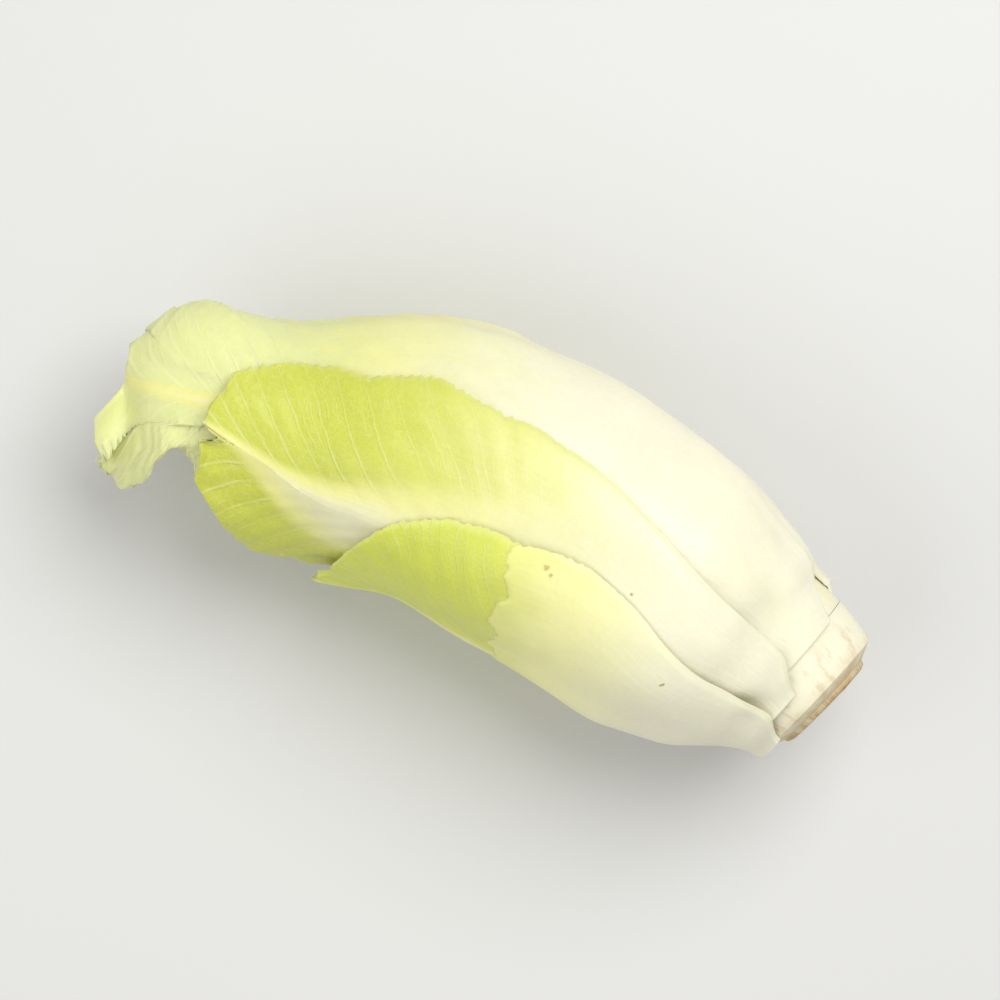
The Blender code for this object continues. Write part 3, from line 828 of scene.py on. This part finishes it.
# Lengths in the networks are in millimetres, as are those that the leaves' meshes hold at their points.


def leaf_place(net):
    """The place on a leaf: from its tip, from its rib, and a depth of its own for each leaf."""
    return net.vector(net.at_point("from_tip"), net.at_point("from_rib"), net.at_point("leaf"))


def vein_nodes(net, given):
    """Side veins that leave the rib, their forks, the fine net between them, and the rib's own line."""
    place = leaf_place(net)
    side = abs(net.at_point("from_rib"))
    drift = net.noise(place, 0.16, 3.0) - 0.5
    number = drift * given["Unevenness"] + net.at_point("vein")
    apart = net.at_point("vein_gap")

    def line(number, apart, width):
        return (net.math("PINGPONG", number, 0.5) * apart).fall(width * 0.15, width)

    main = line(number, apart, given["Vein width"] * side.ramp(2.0, 22.0, 1.0, 0.45))
    main *= net.noise(place, 0.13).ramp(0.35, 0.62, 0.35, 1.0) * side.ramp(8.0, 26.0, 1.0, 0.5)
    fork = line((number + drift * 0.35) * 3.0, apart / 3.0, given["Fork width"])
    fork *= net.noise(place, 0.09, 1.0).ramp(0.42, 0.62) * side.ramp(1.0, 8.0, 0.15, 0.55)
    rib_width = given["Rib width"] * (net.at_point("from_tip") * 0.035 + 0.35)
    rib = side.fall(rib_width * 0.3, rib_width)
    veins = main.larger(fork).larger(rib)

    bend = net.value("ShaderNodeTexNoise", "Color", {"Vector": place, "Scale": 0.5, "Detail": 1.0})
    bend = {0: bend, 1: (1.6, 1.6, 0.0), 2: place}
    bent = net.value("ShaderNodeVectorMath", 0, bend, operation="MULTIPLY_ADD")
    walls = net.cells(bent, 1.0 / given["Net size"], "DISTANCE_TO_EDGE")["Distance"]
    mesh = walls.fall(0.01, 0.10)
    return veins, mesh, mesh * 0.22 + veins


def fade_nodes(net, given):
    """The fade of a leaf from its cream base and rib, through yellow, to green at its tip and sides."""
    from_rib, leaf = net.at_point("from_rib"), net.at_point("leaf")
    side = abs(from_rib)
    pale_side = from_rib.ramp(-2.0, 4.0) * from_rib.fall(7.0, 19.0)
    tip = net.at_point("from_tip") * (pale_side * given["Pale side"] + 1.0)
    streak = net.noise(net.vector(tip * 0.05, net.at_point("across") * 9.0, leaf), 1.0, 3.0, 0.6) - 0.5
    fan = net.noise(net.vector(net.at_point("vein"), side * 0.06, leaf), 1.1, 2.0, 0.6) - 0.5
    length = tip + (streak + fan) * given["Streaks"]
    zone = given["Rib zone"] * (tip * 0.02) ** 1.6
    beside = side - zone
    spread = zone * 0.9 + 1.2
    green = length.fall(22.0, given["Green to"]) * (beside / spread).ramp(0.0, 1.0)
    near_rib = ((beside + spread) / spread).ramp(0.1, 1.2, 0.25, 1.0)
    yellow = length.fall(30.0, given["Yellow to"]) * near_rib
    colour = net.blend(yellow, given["Base colour"], given["Middle colour"])
    return net.blend(green, colour, given["Tip colour"]), green


def skin_nodes(net, given):
    """A leaf's skin: long fine strands and a faint grain, as a height, a shade and a roughness."""
    across = net.at_point("across") * given["Strands"]
    drawn_out = net.vector(net.at_point("from_tip") * 0.03, across, net.at_point("leaf"))
    strands = net.noise(drawn_out, 1.0, 3.0, 0.55)
    place = leaf_place(net)
    grain = net.noise(place, 2.6, 2.0, 0.6)
    patches = net.noise(place, 0.11, 3.0, 0.55) - 0.5
    fine = net.noise(place, 0.9) - 0.5
    shade = (patches + fine * 0.6) * given["Mottle"] + 1.0
    return strands * 0.8 + grain * 0.10, shade, patches * 0.16 + given["Roughness"]


def browning_nodes(net, given):
    """Where a leaf has turned brown: in places along its margin near the tip, and as a few rusty specks."""
    place = leaf_place(net)
    patchy = net.noise(place, 0.35, 3.0, 0.65).ramp(0.48, 0.68)
    near = net.at_point("from_margin").fall(0.0, given["Margin reach"])
    along = net.at_point("from_tip").fall(0.0, given["Margin length"])
    cells = net.cells(place, 0.13)
    chosen = net.outputs(net.add("ShaderNodeSeparateColor", {"Color": cells["Color"]}))
    kept = net.math("LESS_THAN", chosen["Red"], given["Speck share"])
    size = given["Speck size"] * (chosen["Green"] * 0.09 + 0.06)
    ragged = (net.noise(place, 2.2) - 0.5) * 0.12 + cells["Distance"]
    return near * along * patchy, ragged.fall(size * 0.4, size) * kept


def leaf_effects():
    """The node groups that all the leaves share."""
    green, yellow, cream = (0.5, 0.6, 0.1, 1), (0.8, 0.8, 0.3, 1), (0.85, 0.83, 0.65, 1)
    sizes = {"Vein width": 0.5, "Fork width": 0.25, "Rib width": 1.0, "Net size": 1.7, "Unevenness": 0.22}
    colours = {"Tip colour": green, "Middle colour": yellow, "Base colour": cream}
    reaches = {"Green to": 62.0, "Yellow to": 90.0, "Rib zone": 7.0, "Pale side": 0.0, "Streaks": 14.0}
    skin_values = {"Strands": 26.0, "Mottle": 0.12, "Roughness": 0.42}
    browned = {"Margin reach": 0.5, "Margin length": 30.0, "Speck size": 0.5, "Speck share": 0.06}
    return (
        effect("Leaf veins", vein_nodes, sizes, ("Veins", "Net", "Height")),
        effect("Leaf fade", fade_nodes, colours | reaches, ("Colour", "Green")),
        effect("Leaf skin", skin_nodes, skin_values, ("Height", "Shade", "Roughness")),
        effect("Leaf browning", browning_nodes, browned, ("Margin", "Specks")),
    )


# ---- Finishes ----


def rgba(colour, scale=1.0):
    return (colour[0] * scale, colour[1] * scale, colour[2] * scale, 1)


def new_finish(name, subsurface=0, coat=0):
    """A new material with a plain shader. Gives it and its network."""
    made = bpy.data.materials.new(name)
    made.use_nodes = True
    shader = made.node_tree.nodes["Principled BSDF"]
    shader.location = (300, 0)
    values = {
        "Metallic": 0,
        "IOR": 1.42,
        "Subsurface Weight": subsurface,
        "Subsurface Radius": (1.0, 0.85, 0.35),
        "Subsurface Scale": 0.0022,
        "Coat Weight": coat,
        "Coat Roughness": 0.28,
    }
    for key, value in values.items():
        shader.inputs[key].default_value = value
    return made, Network(made.node_tree)


def feed_shader(net, colour, roughness, height=None, distance=0.0002):
    """Gives a material's shader its colour, its roughness and its relief, which is distance high."""
    shader = net.tree.nodes["Principled BSDF"]
    net.feed(shader.inputs["Base Color"], colour)
    net.feed(shader.inputs["Roughness"], roughness)
    if height is not None:
        bump = {"Height": height, "Distance": distance, "Strength": 1.0}
        net.feed(shader.inputs["Normal"], net.value("ShaderNodeBump", "Normal", bump))


@dataclass
class LeafLook:
    """What sets one leaf's finish apart from another's. Lengths are in millimetres from the leaf's tip."""

    name: str
    tip: tuple
    middle: tuple
    green_to: float
    yellow_to: float
    rib_zone: float
    vein_show: float = 0.5
    net_show: float = 0.13
    margin_brown: float = 0.7
    specks: float = 0.05
    torn: bool = False
    pale_side: float = 0.0
    subsurface: float = 0.22


def bruise(net):
    """How bruised a leaf is: two small ragged dots side by side."""
    share = 0.0
    for along, side, size in BRUISE_DOTS:
        x = net.at_point("from_tip") - along
        y = net.at_point("from_rib") - side
        away = (x * x + y * y) ** 0.5 + (net.noise(leaf_place(net), 2.0) - 0.5) * 0.9
        share = away.ramp(0.3 * size, size, 0.6, 0.0).larger(share)
    return share


def torn_skin(net, look, colours, colour, green):
    """The lowest leaf's colour and how green it is, with its outer skin, which ends in a ragged torn line."""
    browned = rgba(colours.browned)
    ragged = (net.noise(leaf_place(net), 1.7, 3.0, 0.7) - 0.5) * 0.9 + net.at_point("torn")
    over = ragged.ramp(-0.08, 0.08)
    along = net.at_point("from_tip").ramp(44.0, 76.0)
    skin = net.blend(along, rgba(colours.bright_yellow), rgba(colours.cream))
    still_green = (ragged + net.noise(leaf_place(net), 0.5, 3.0)).ramp(0.0, 12.0, 0.45, 0.0)
    skin = net.blend(still_green, skin, rgba(look.tip))
    lip = 1.0 - abs(ragged).ramp(0.0, 0.45)
    colour = net.blend(lip * 0.22, net.blend(over, colour, skin), browned)
    return net.blend(bruise(net), colour, browned), green * (1.0 - over)


def leaf_finish(look, colours, veins, effects):
    """A leaf's material: its fade, veins and net, mottled skin, brown margin and specks, painted light
    shining through its thin margins, and their relief.
    """
    made, net = new_finish(look.name, look.subsurface, 0.06)
    vein_group, fade_group, skin_group, browning_group = effects
    vein = net.group(
        vein_group,
        vein_width=veins.width / MM,
        fork_width=0.5 * veins.width / MM,
        rib_width=veins.rib_line / MM,
        net_size=veins.net_size / MM,
    )
    fade = net.group(
        fade_group,
        tip_colour=rgba(look.tip),
        middle_colour=rgba(look.middle),
        base_colour=rgba(colours.cream),
        green_to=look.green_to,
        yellow_to=look.yellow_to,
        rib_zone=look.rib_zone,
        pale_side=look.pale_side,
    )
    skin = net.group(skin_group)
    brown = net.group(browning_group, speck_share=look.specks)
    colour, green = fade["Colour"], fade["Green"]
    if look.torn:
        colour, green = torn_skin(net, look, colours, colour, green)
    shade = net.vector(*(skin["Shade"],) * 3)
    # Painted light: the thin margins are painted paler and brighter for the light that shines through them
    thin = net.at_point("from_margin").ramp(0.0, 1.6, 0.42, 0.0)
    colour = net.blend(1.0, colour, shade, "MULTIPLY")
    for share, other in (
        (vein["Veins"] * (green * (look.vein_show - 0.1) + 0.1), colours.vein),
        (vein["Net"] * (green * look.net_show), colours.vein),
        # painted light shining through the thin margins
        (thin * (green * 0.7 + 0.3), colours.margin),
        (brown["Margin"] * look.margin_brown, colours.browned),
        (brown["Specks"] * 0.75, colours.rust),
        (net.at_point("inside") * 0.5, colours.cream),
    ):
        colour = net.blend(share, colour, rgba(other))
    height = vein["Height"] * (green * 0.8 + 0.12) + skin["Height"]
    feed_shader(net, colour, skin["Roughness"], height, veins.relief)
    return made


def stem_finish(colours):
    """The cut butt: spotted pale pith, a ring of strands, a tan rim where it has dried, and leaf scars."""
    made, net = new_finish("Cut stem", 0.15)
    tan = rgba(colours.tan)
    x, y, middle = net.at_point("cut_x"), net.at_point("cut_y"), net.at_point("from_middle")
    place = net.vector(x, y, middle)
    rays = net.noise(net.vector(net.math("ARCTAN2", y, x) * 6.0, middle, 0.0), 1.5, 3.0, 0.6)
    cloud = net.noise(place, 3.0, 4.0, 0.6)
    pit = net.cells(place, 16.0)["Distance"].fall(0.08, 0.35) * middle.fall(0.98, 1.1)
    edge = (cloud - 0.5) * 0.30 + middle
    rim = edge.ramp(0.80, 0.97) * edge.fall(1.02, 1.20)
    ring = edge.ramp(0.52, 0.62) * edge.fall(0.64, 0.76)
    patch = net.noise(net.vector(x * 3.0, y * 3.0, middle), 1.6, 4.0, 0.65)
    scar = patch.ramp(0.50, 0.66) * (middle.ramp(1.15, 1.3) * middle.fall(1.5, 2.1))
    colour = net.blend(cloud.ramp(0.35, 0.75), rgba(colours.pith), tan)
    colour = net.blend(ring * rays.ramp(0.4, 0.65, 0.0, 0.55), colour, tan)
    colour = net.blend(rim * rays.ramp(0.30, 0.70, 0.35, 0.95), colour, rgba(colours.browned))
    colour = net.blend(pit * 0.25, colour, rgba(colours.rust))
    colour = net.blend(middle.ramp(1.12, 1.5), colour, rgba(colours.cream))
    colour = net.blend(scar * 0.55, colour, tan)
    feed_shader(net, colour, cloud.ramp(0.3, 0.7, 0.42, 0.62), rays * 0.5 - pit * 0.6 + cloud)
    return made


def heart_finish(colours):
    """The heart bud: pale yellow, creamier towards its base, with fine creases lengthways."""
    made, net = new_finish("Heart bud", 0.25, 0.05)
    place = net.value("ShaderNodeTexCoord", "Object")
    long = net.value("ShaderNodeMapping", 0, {"Vector": place, "Scale": (60.0, 700.0, 700.0)})
    strands = net.noise(long, 1.0, 3.0, 0.6)
    up = (strands - 0.5) * 0.25 + net.at_point("up")
    colour = net.blend(up.ramp(0.35, 0.95), rgba(colours.cream), rgba(colours.pale_green))
    colour = net.blend(strands.ramp(0.35, 0.70, 0.0, 0.35), colour, rgba(colours.yellow))
    feed_shader(net, colour, strands.ramp(0.3, 0.7, 0.38, 0.52), strands)
    return made


def table_finish(table_colour):
    made, net = new_finish("Pale table")
    cloud = net.noise(net.value("ShaderNodeTexCoord", "Object"), 3.0).ramp(0.3, 0.7)
    feed_shader(net, net.blend(cloud, rgba(table_colour, 0.985), rgba(table_colour)), 0.7)
    return made


# ---- Properties ----


def length_property(name, description, default, low, high):
    given = {"name": name, "description": description, "default": default, "min": low, "max": high}
    return FloatProperty(unit="LENGTH", precision=5, **given)


def power_property(name, description, default):
    return FloatProperty(name=name, description=description, default=default, min=0, max=100, unit="POWER")


def colour_property(name, description, default):
    return FloatVectorProperty(
        name=name, description=description, default=default, size=3, min=0, max=1, subtype="COLOR"
    )


class LeafShape(bpy.types.PropertyGroup):
    """Sizes of a leaf's own detail."""

    tooth_depth: length_property("Tooth Depth", "How far the teeth of a margin stand out", 0.0004, 0, 0.002)
    margin_thickness: length_property("Margin Thickness", "Of a blade at its margin", 0.0003, 0.0001, 0.0007)
    margin_closing: FloatProperty(
        name="Margin Closing", description="Share of the gap under a leaf that its margin closes",
        default=0.6, min=0, max=0.9, subtype="FACTOR",
    )
    pucker: length_property("Pucker", "How deep the blade puckers between its side veins", 0.00016, 0, 0.0005)


class VeinSizes(bpy.types.PropertyGroup):
    """Sizes of a leaf's veins."""

    spacing: length_property("Vein Spacing", "From one side vein to the next on the rib", 0.0068, 0.002, 0.02)
    width: length_property("Vein Width", "Of a side vein where it leaves the rib", 0.00042, 0.0001, 0.002)
    rib_line: length_property("Rib Line", "Half the width of the pale line on the rib", 0.0010, 0.0001, 0.005)
    net_size: length_property("Net Size", "Across one mesh of the net between veins", 0.0012, 0.0005, 0.005)
    relief: length_property("Vein Relief", "How high the veins stand on the blade", 0.00010, 0, 0.001)


class HeadColours(bpy.types.PropertyGroup):
    """Colours of the head, as linear values."""

    cream: colour_property("Cream", "Of the leaves' bases and ribs", (0.84, 0.81, 0.62))
    yellow: colour_property("Yellow", "Of the leaves' middles", (0.80, 0.78, 0.28))
    bright_yellow: colour_property("Bright Yellow", "Of the torn outer skin", (0.88, 0.85, 0.38))
    green: colour_property("Green", "Of the outer leaves' tips", (0.56, 0.60, 0.075))
    deep_green: colour_property("Deep Green", "Of the lowest leaf's tip", (0.64, 0.70, 0.085))
    pale_green: colour_property("Pale Green", "Of the thin leaves at the tip", (0.72, 0.76, 0.34))
    vein: colour_property("Vein", "Of the veins and the fine net", (0.82, 0.80, 0.42))
    # Painted light: this colour is painted on the thin margins for the light that shines through them
    margin: colour_property("Margin", "Of the thin margins, where light comes through", (0.80, 0.82, 0.36))
    browned: colour_property("Browned", "Of dried margins and the dried cut", (0.42, 0.27, 0.08))
    rust: colour_property("Rust", "Of small rusty specks", (0.34, 0.17, 0.05))
    pith: colour_property("Pith", "Of the cut stem", (0.80, 0.74, 0.54))
    tan: colour_property("Tan", "Of the cut stem where it has dried a little", (0.62, 0.47, 0.26))


class StageSettings(bpy.types.PropertyGroup):
    """The table, the light and the camera."""

    table_colour: colour_property("Table", "Of the pale table", (0.68, 0.68, 0.67))
    key_power: power_property("Key Light", "Power of the soft light above", 4.0)
    fill_power: power_property("Fill Light", "Power of the weaker light from the other side", 1.4)
    room_light: FloatProperty(
        name="Room Light", description="Strength of the light from all round", default=0.48, min=0, max=5
    )
    camera_height: length_property("Camera Height", "Of the camera above the head's middle", 0.80, 0.2, 5)
    view_width: length_property("View Width", "Of what the camera sees at the head's middle", 0.185, 0.05, 1)
    camera_turn: FloatProperty(
        name="Camera Turn", description="About the vertical, so that the tip points up to the left",
        default=radians(25.4), min=radians(-180), max=radians(180), unit="ROTATION",
    )


class EndiveSettings(bpy.types.PropertyGroup):
    """All settings of the head and its stage."""

    shape: PointerProperty(type=LeafShape, name="Leaf Shape", description="Sizes of the leaves' detail")
    veins: PointerProperty(type=VeinSizes, name="Veins", description="Sizes of the leaves' veins")
    colours: PointerProperty(type=HeadColours, name="Colours", description="Colours of the head")
    stage: PointerProperty(type=StageSettings, name="Stage", description="Table, light and camera")


# ---- Operators ----


class Maker:
    """What the operators share: each makes its pieces from the settings of the scene."""

    def execute(self, context):
        self.make(context.scene.endive)
        return {"FINISHED"}


class LeafMaker(Maker):
    """Makes like leaves, from their mesh's cells and each look with its leaves."""

    def make(self, settings):
        effects = leaf_effects()
        for look, indices in self.looks(settings.colours):
            made = leaf_finish(look, settings.colours, settings.veins, effects)
            for index in indices:
                leaf_piece(index, self.cells, settings.shape, settings.veins, made)


class ENDIVE_OT_stem(Maker, bpy.types.Operator):
    """Makes the stem with its dried cut"""

    bl_idname = "endive.stem"
    bl_label = "Stem"

    def make(self, settings):
        stem_piece(stem_finish(settings.colours))


class ENDIVE_OT_heart(Maker, bpy.types.Operator):
    """Makes the heart bud inside the leaves"""

    bl_idname = "endive.heart"
    bl_label = "Heart Bud"

    def make(self, settings):
        heart_piece(heart_finish(settings.colours))


class ENDIVE_OT_green_leaves(LeafMaker, bpy.types.Operator):
    """Makes the four outer leaves with green tips"""

    bl_idname = "endive.green_leaves"
    bl_label = "Green Leaves"
    slot, cells = "green_leaf", OUTER_CELLS

    def looks(self, colours):
        green, yellow = colours.green, colours.yellow
        torn = LeafLook("Torn green leaf", colours.deep_green, yellow, 70, 95, 2.0, torn=True)
        top = LeafLook("Top green leaf", green, yellow, 82, 106, 7.0, vein_show=0.33, pale_side=0.9)
        return (torn, (0,)), (LeafLook("Side leaf", green, yellow, 52, 80, 8.0), (1, 3)), (top, (2,))


class ENDIVE_OT_pale_leaves(LeafMaker, bpy.types.Operator):
    """Makes the three thin pale leaves that reach the tip"""

    bl_idname = "endive.pale_leaves"
    bl_label = "Pale Leaves"
    slot, cells = "pale_leaf", OUTER_CELLS

    def looks(self, colours):
        look = LeafLook(
            "Pale leaf", colours.pale_green, colours.yellow, 50, 85, 4.0, vein_show=0.6, net_show=0.15,
            margin_brown=0.6, specks=0.09, subsurface=0.3,
        )
        return ((look, (4, 5, 6)),)


class ENDIVE_OT_inner_leaves(LeafMaker, bpy.types.Operator):
    """Makes the seven leaves inside, whose tips show"""

    bl_idname = "endive.inner_leaves"
    bl_label = "Inner Leaves"
    slot, cells = "inner_leaf", INNER_CELLS

    def looks(self, colours):
        look = LeafLook(
            "Inner leaf", colours.pale_green, colours.yellow, 34, 70, 3.0, vein_show=0.6, margin_brown=0.4,
            specks=0.02, subsurface=0.3,
        )
        return ((look, range(7, LEAF_COUNT)),)


class ENDIVE_OT_stage(Maker, bpy.types.Operator):
    """Sets the table, the soft lights and the camera"""

    bl_idname = "endive.stage"
    bl_label = "Table, Light and Camera"

    def make(self, settings):
        stage = settings.stage
        middle = (CAD_BOX[0] + CAD_BOX[1]) / 2
        make_table(stage)
        light("key light", stage.key_power, KEY_LIGHT, middle)
        light("fill light", stage.fill_power, FILL_LIGHT, middle)
        scene = bpy.context.scene
        scene.world = bpy.data.worlds.new("room")
        scene.world.use_nodes = True
        ground = scene.world.node_tree.nodes["Background"]
        ground.inputs["Color"].default_value = ROOM_COLOUR
        ground.inputs["Strength"].default_value = stage.room_light
        scene.view_settings.view_transform = "Standard"
        scene.view_settings.look = "None"
        camera = bpy.data.cameras.new("camera")
        camera.sensor_width = SENSOR_WIDTH
        camera.lens = SENSOR_WIDTH * stage.camera_height / stage.view_width
        scene.camera = placed("camera", camera, middle + Vector((0, 0, stage.camera_height)))
        scene.camera.rotation_euler = (0, 0, stage.camera_turn)


def placed(name, data, place=(0, 0, 0)):
    """A new object in the scene."""
    made = bpy.data.objects.new(name, data)
    made.location = place
    bpy.context.scene.collection.objects.link(made)
    return made


def light(name, power, size_and_place, target):
    """A round soft lamp, turned to its target. Its place is given from there."""
    size, place = size_and_place
    lamp = bpy.data.lights.new(name, "AREA")
    lamp.shape = "DISK"
    lamp.size = size
    lamp.energy = power
    made = placed(name, lamp, target + Vector(place))
    made.rotation_euler = (-Vector(place)).to_track_quat("-Z", "Y").to_euler()


def make_table(stage):
    """The pale table, a little cloudy, far wider than the camera sees."""
    mesh = bpy.data.meshes.new("table")
    corners = [(x * TABLE_HALF, y * TABLE_HALF, 0) for x, y in ((-1, -1), (1, -1), (1, 1), (-1, 1))]
    mesh.from_pydata(corners, [], [(0, 1, 2, 3)])
    mesh.materials.append(table_finish(stage.table_colour))
    placed("table", mesh)


# ---- Panel and registration ----


class ENDIVE_PT_panel(bpy.types.Panel):
    """Lists what the head is made of and its settings"""

    bl_label = "Belgian Endive"
    bl_idname = "ENDIVE_PT_panel"
    bl_space_type = "VIEW_3D"
    bl_region_type = "UI"
    bl_category = "Endive"

    def draw(self, context):
        settings = context.scene.endive
        for part in (settings.shape, settings.veins, settings.colours, settings.stage):
            box = self.layout.box()
            for name in part.__annotations__:
                box.prop(part, name)
        for operator in OPERATORS:
            self.layout.operator(operator.bl_idname)


OPERATORS = (
    ENDIVE_OT_stem,
    ENDIVE_OT_heart,
    ENDIVE_OT_green_leaves,
    ENDIVE_OT_pale_leaves,
    ENDIVE_OT_inner_leaves,
    ENDIVE_OT_stage,
)
CLASSES = (LeafShape, VeinSizes, HeadColours, StageSettings, EndiveSettings) + OPERATORS + (ENDIVE_PT_panel,)


def register():
    for kind in CLASSES:
        bpy.utils.register_class(kind)
    bpy.types.Scene.endive = PointerProperty(type=EndiveSettings)


def unregister():
    del bpy.types.Scene.endive
    for kind in reversed(CLASSES):
        bpy.utils.unregister_class(kind)


def main():
    register()
    bpy.ops.endive.stem()
    bpy.ops.endive.heart()
    bpy.ops.endive.green_leaves()
    bpy.ops.endive.pale_leaves()
    bpy.ops.endive.inner_leaves()
    bpy.ops.endive.stage()
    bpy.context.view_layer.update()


if __name__ == "__main__":
    main()
